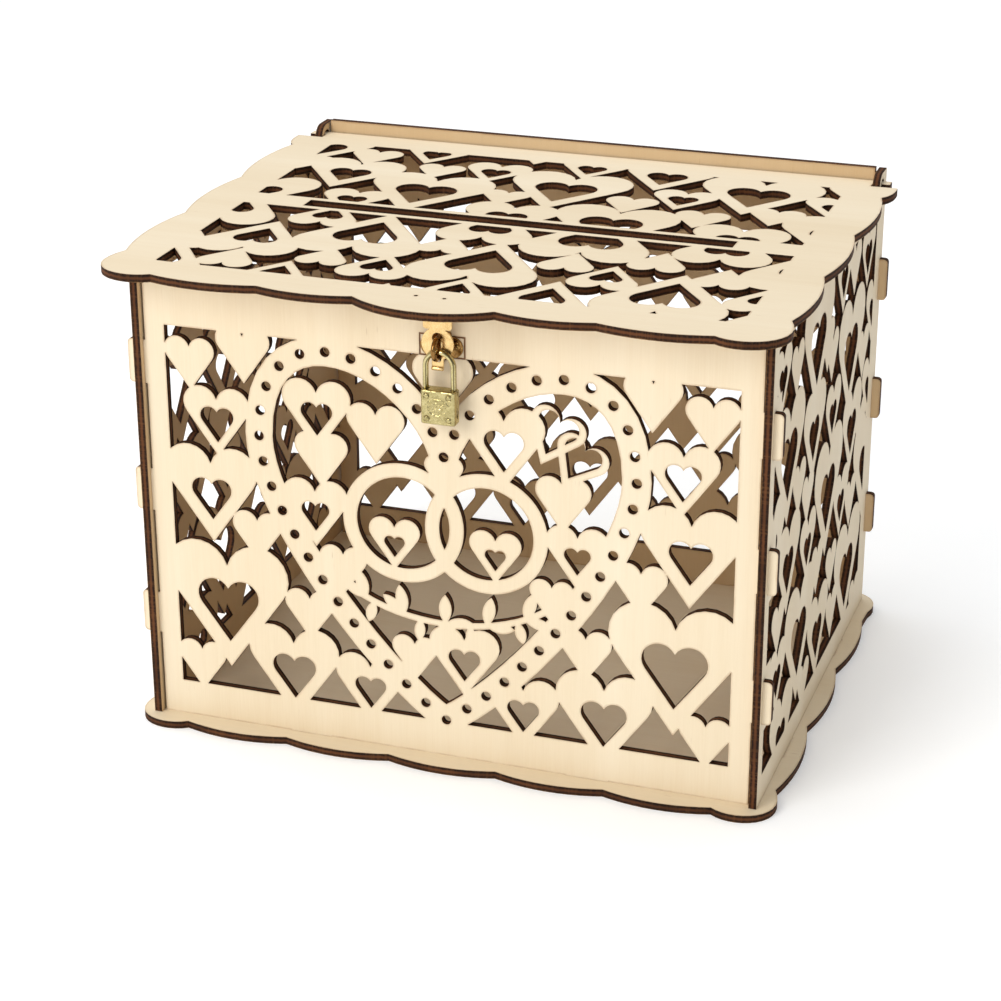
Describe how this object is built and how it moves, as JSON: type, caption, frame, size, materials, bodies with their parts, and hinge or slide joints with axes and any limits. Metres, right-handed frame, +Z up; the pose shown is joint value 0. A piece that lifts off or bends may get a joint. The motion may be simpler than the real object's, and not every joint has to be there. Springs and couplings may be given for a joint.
{
  "type": "wedding card box",
  "caption": "Laser-cut plywood card box with pierced heart patterns, a slotted scalloped lid on wooden pivots, and a brass hasp with a small padlock.",
  "frame": {"origin": "centre of the floor plate's underside, midway between the side panels and midway along their depth", "axes": "+X to the right of a person facing the lock, +Y from the lock to the lid's pivots, +Z up"},
  "size_m": [0.2546, 0.2215, 0.1929],
  "materials": {
    "plywood": "unfinished basswood plywood with laser-burnt dark brown edges",
    "hasp_brass": "bright stamped brass",
    "aged_brass": "darker brass with dull hollows",
    "padlock_brass": "cast brass, satin with worn bright edges"
  },
  "bodies": {
    "box": {"base_plate": "plywood", "left_panel": "plywood", "right_panel": "plywood", "front_panel": "plywood", "back_panel": "plywood", "staple_plate": "aged_brass", "staple_eye": "aged_brass", "staple_screws": "aged_brass"},
    "lid": {"lid_panel": "plywood", "hasp_leaf": "hasp_brass", "hasp_leaf_screws": "hasp_brass", "hasp_pin": "hasp_brass"},
    "flap": {"hasp_flap": "hasp_brass"},
    "shackle": {"padlock_shackle": "padlock_brass"},
    "lock": {"padlock_body": "padlock_brass"},
    "plug": {"padlock_plug": "padlock_brass"}
  },
  "joints": [
    {"name": "lid_hinge", "type": "hinge", "parent": "box", "child": "lid", "pos_m": [0, 0.0865, 0.1865], "axis": [-1, 0, 0], "range_deg": [0, 100]},
    {"name": "padlock_off", "type": "slide", "parent": "box", "child": "shackle", "axis": [0, -1, 0], "range_m": [0, 0.08]},
    {"name": "flap_lift", "type": "hinge", "parent": "lid", "child": "flap", "pos_m": [0, -0.0965, 0.1837], "axis": [-1, 0, 0], "range_deg": [0, 75]},
    {"name": "padlock_drop", "type": "slide", "parent": "shackle", "child": "lock", "axis": [0, 0, -1], "range_m": [0, 0.005]},
    {"name": "plug_turn", "type": "hinge", "parent": "lock", "child": "plug", "pos_m": [0.0012, -0.0982, 0.1398], "axis": [0, 0, 1], "range_deg": [0, 90]}
  ],
  "couplings": [
    {"joint": "flap_lift", "follows": "padlock_off", "rad_per_m": 16.36}
  ]
}
